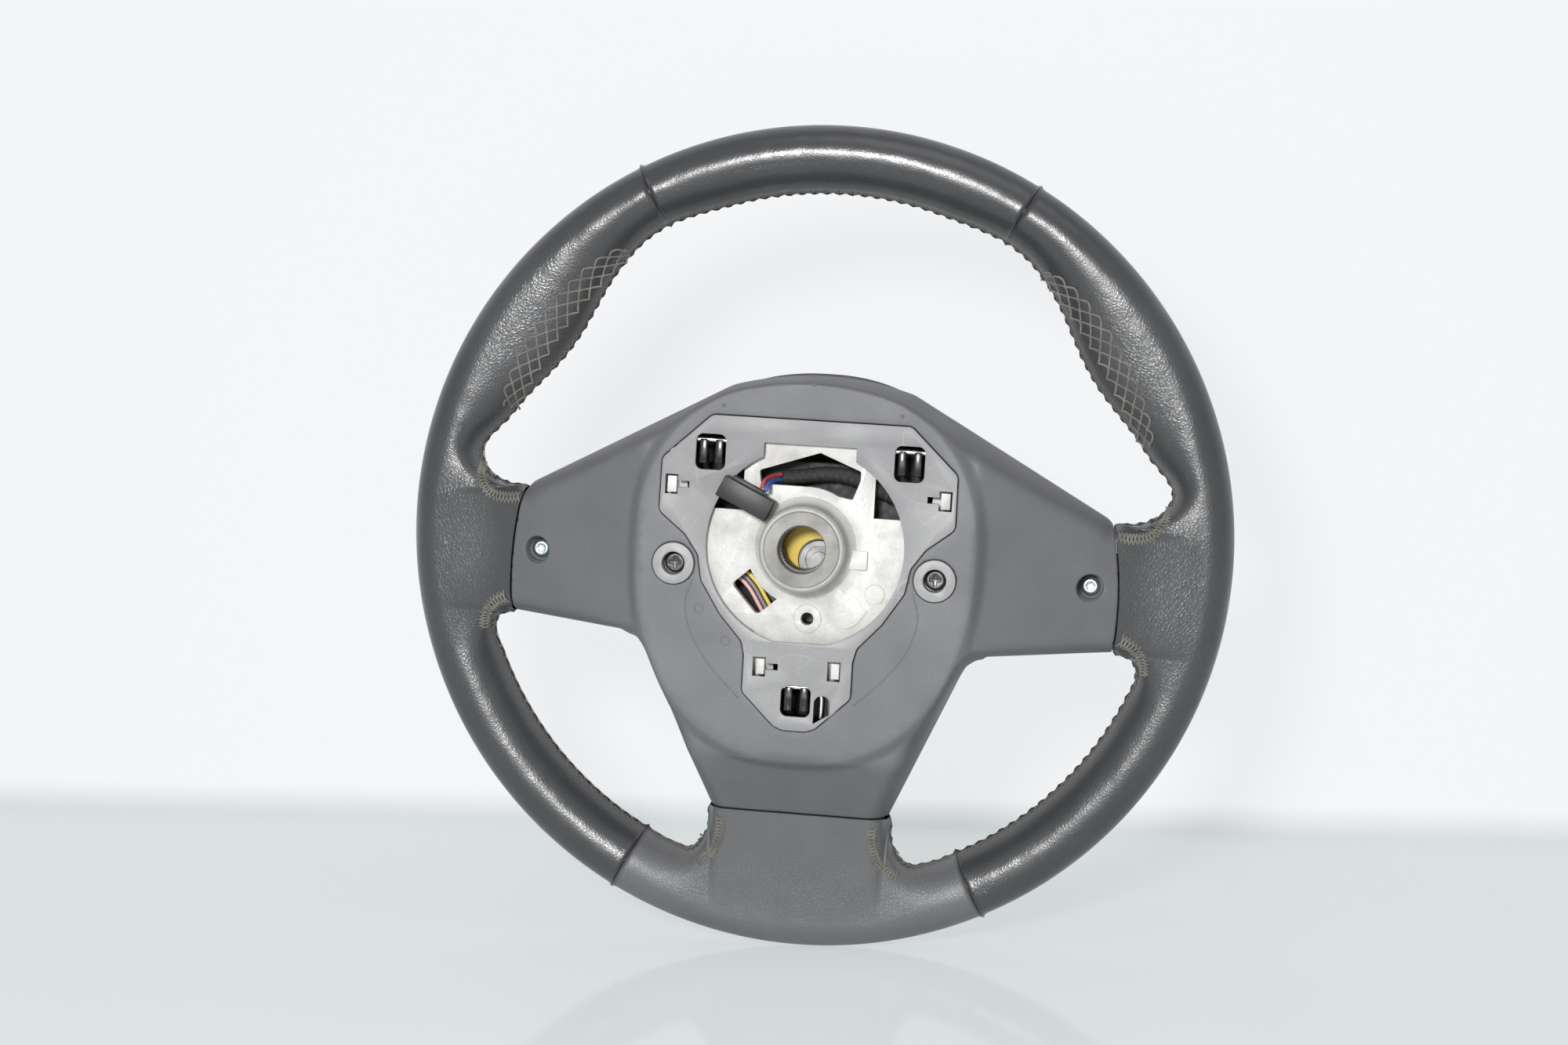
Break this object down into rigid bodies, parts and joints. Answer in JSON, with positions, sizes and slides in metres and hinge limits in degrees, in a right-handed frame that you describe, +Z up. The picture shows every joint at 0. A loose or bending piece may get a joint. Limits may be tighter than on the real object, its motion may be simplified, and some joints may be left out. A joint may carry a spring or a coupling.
{
  "type": "car steering wheel",
  "caption": "Leather-covered car steering wheel with spokes, a grey rear cover, a cast hub with a splined bore, thumb rests and a sprung airbag module that works the horn.",
  "frame": {"origin": "centre of the column bore at the boss's rear face", "axes": "+Y along the column towards the driver, +Z up with the wheel straight ahead, +X to the right as seen from the column"},
  "size_m": [0.37, 0.086, 0.37],
  "materials": {
    "cast_alloy": "as cast",
    "bush_steel": "turned",
    "spring_steel": "drawn wire",
    "screw_steel": "bright",
    "black_screw": "black oxide",
    "foam": "moulded foam",
    "leather": "grained, worn glossy",
    "leather_worn": "grained, dusty",
    "cover_grey": "fine grain",
    "plate_grey": "dusty satin",
    "sleeve_grey": "satin",
    "trim_grey": "fine grain",
    "canister_steel": "satin",
    "inflator_steel": "pressed",
    "yellow_plug": "satin",
    "black_plastic": "satin",
    "black_tape": "taped",
    "wire_red": "satin",
    "wire_blue": "satin",
    "wire_pink": "satin",
    "wire_grey": "satin",
    "wire_yellow": "satin"
  },
  "bodies": {
    "wheel": {"armature": "cast_alloy", "spline_bush": "bush_steel", "rim_foam": "foam", "leather_top": "leather", "leather_left": "leather", "leather_right": "leather", "leather_bottom": "leather_worn", "rear_cover": "cover_grey", "hub_plate": "plate_grey", "retaining_springs": "spring_steel", "screw_sleeves": "sleeve_grey", "sleeve_screws": "black_screw", "spoke_screws": "screw_steel", "left_bezel": "trim_grey", "right_bezel": "trim_grey", "lower_trim": "trim_grey", "horn_springs": "spring_steel", "left_switch_housing": "black_plastic", "right_switch_housing": "black_plastic", "loom": "black_tape", "loom_connector": "black_plastic", "lead_red": "wire_red", "lead_blue": "wire_blue", "lead_pink": "wire_pink", "lead_grey": "wire_grey", "lead_yellow": "wire_yellow", "loom_clip": "black_plastic"},
    "airbag_module": {"airbag_cover": "trim_grey", "airbag_canister": "canister_steel", "inflator": "inflator_steel", "squib_connector": "yellow_plug", "module_hooks": "black_plastic"},
    "left_rocker": {"left_rocker": "black_plastic"},
    "left_upper_button": {"left_upper_button": "black_plastic"},
    "left_lower_button": {"left_lower_button": "black_plastic"},
    "right_rocker": {"right_rocker": "black_plastic"},
    "right_upper_button": {"right_upper_button": "black_plastic"},
    "right_lower_button": {"right_lower_button": "black_plastic"}
  },
  "joints": [
    {"name": "horn_press", "type": "slide", "parent": "wheel", "child": "airbag_module", "axis": [0, -1, 0], "range_m": [0, 0.0022], "stiffness_N_per_m": 8000, "springref_m": -0.001},
    {"name": "left_rocker_tip", "type": "hinge", "parent": "wheel", "child": "left_rocker", "pos_m": [-0.101, 0.069, -0.009], "axis": [1, 0, 0], "range_deg": [-4, 4], "stiffness_Nm_per_rad": 0.5},
    {"name": "left_upper_button_press", "type": "slide", "parent": "wheel", "child": "left_upper_button", "axis": [0, -1, 0], "range_m": [0, 0.0008], "stiffness_N_per_m": 1500, "springref_m": -0.0006},
    {"name": "left_lower_button_press", "type": "slide", "parent": "wheel", "child": "left_lower_button", "axis": [0, -1, 0], "range_m": [0, 0.0008], "stiffness_N_per_m": 1500, "springref_m": -0.0006},
    {"name": "right_rocker_tip", "type": "hinge", "parent": "wheel", "child": "right_rocker", "pos_m": [0.101, 0.069, -0.009], "axis": [1, 0, 0], "range_deg": [-4, 4], "stiffness_Nm_per_rad": 0.5},
    {"name": "right_upper_button_press", "type": "slide", "parent": "wheel", "child": "right_upper_button", "axis": [0, -1, 0], "range_m": [0, 0.0008], "stiffness_N_per_m": 1500, "springref_m": -0.0006},
    {"name": "right_lower_button_press", "type": "slide", "parent": "wheel", "child": "right_lower_button", "axis": [0, -1, 0], "range_m": [0, 0.0008], "stiffness_N_per_m": 1500, "springref_m": -0.0006}
  ]
}
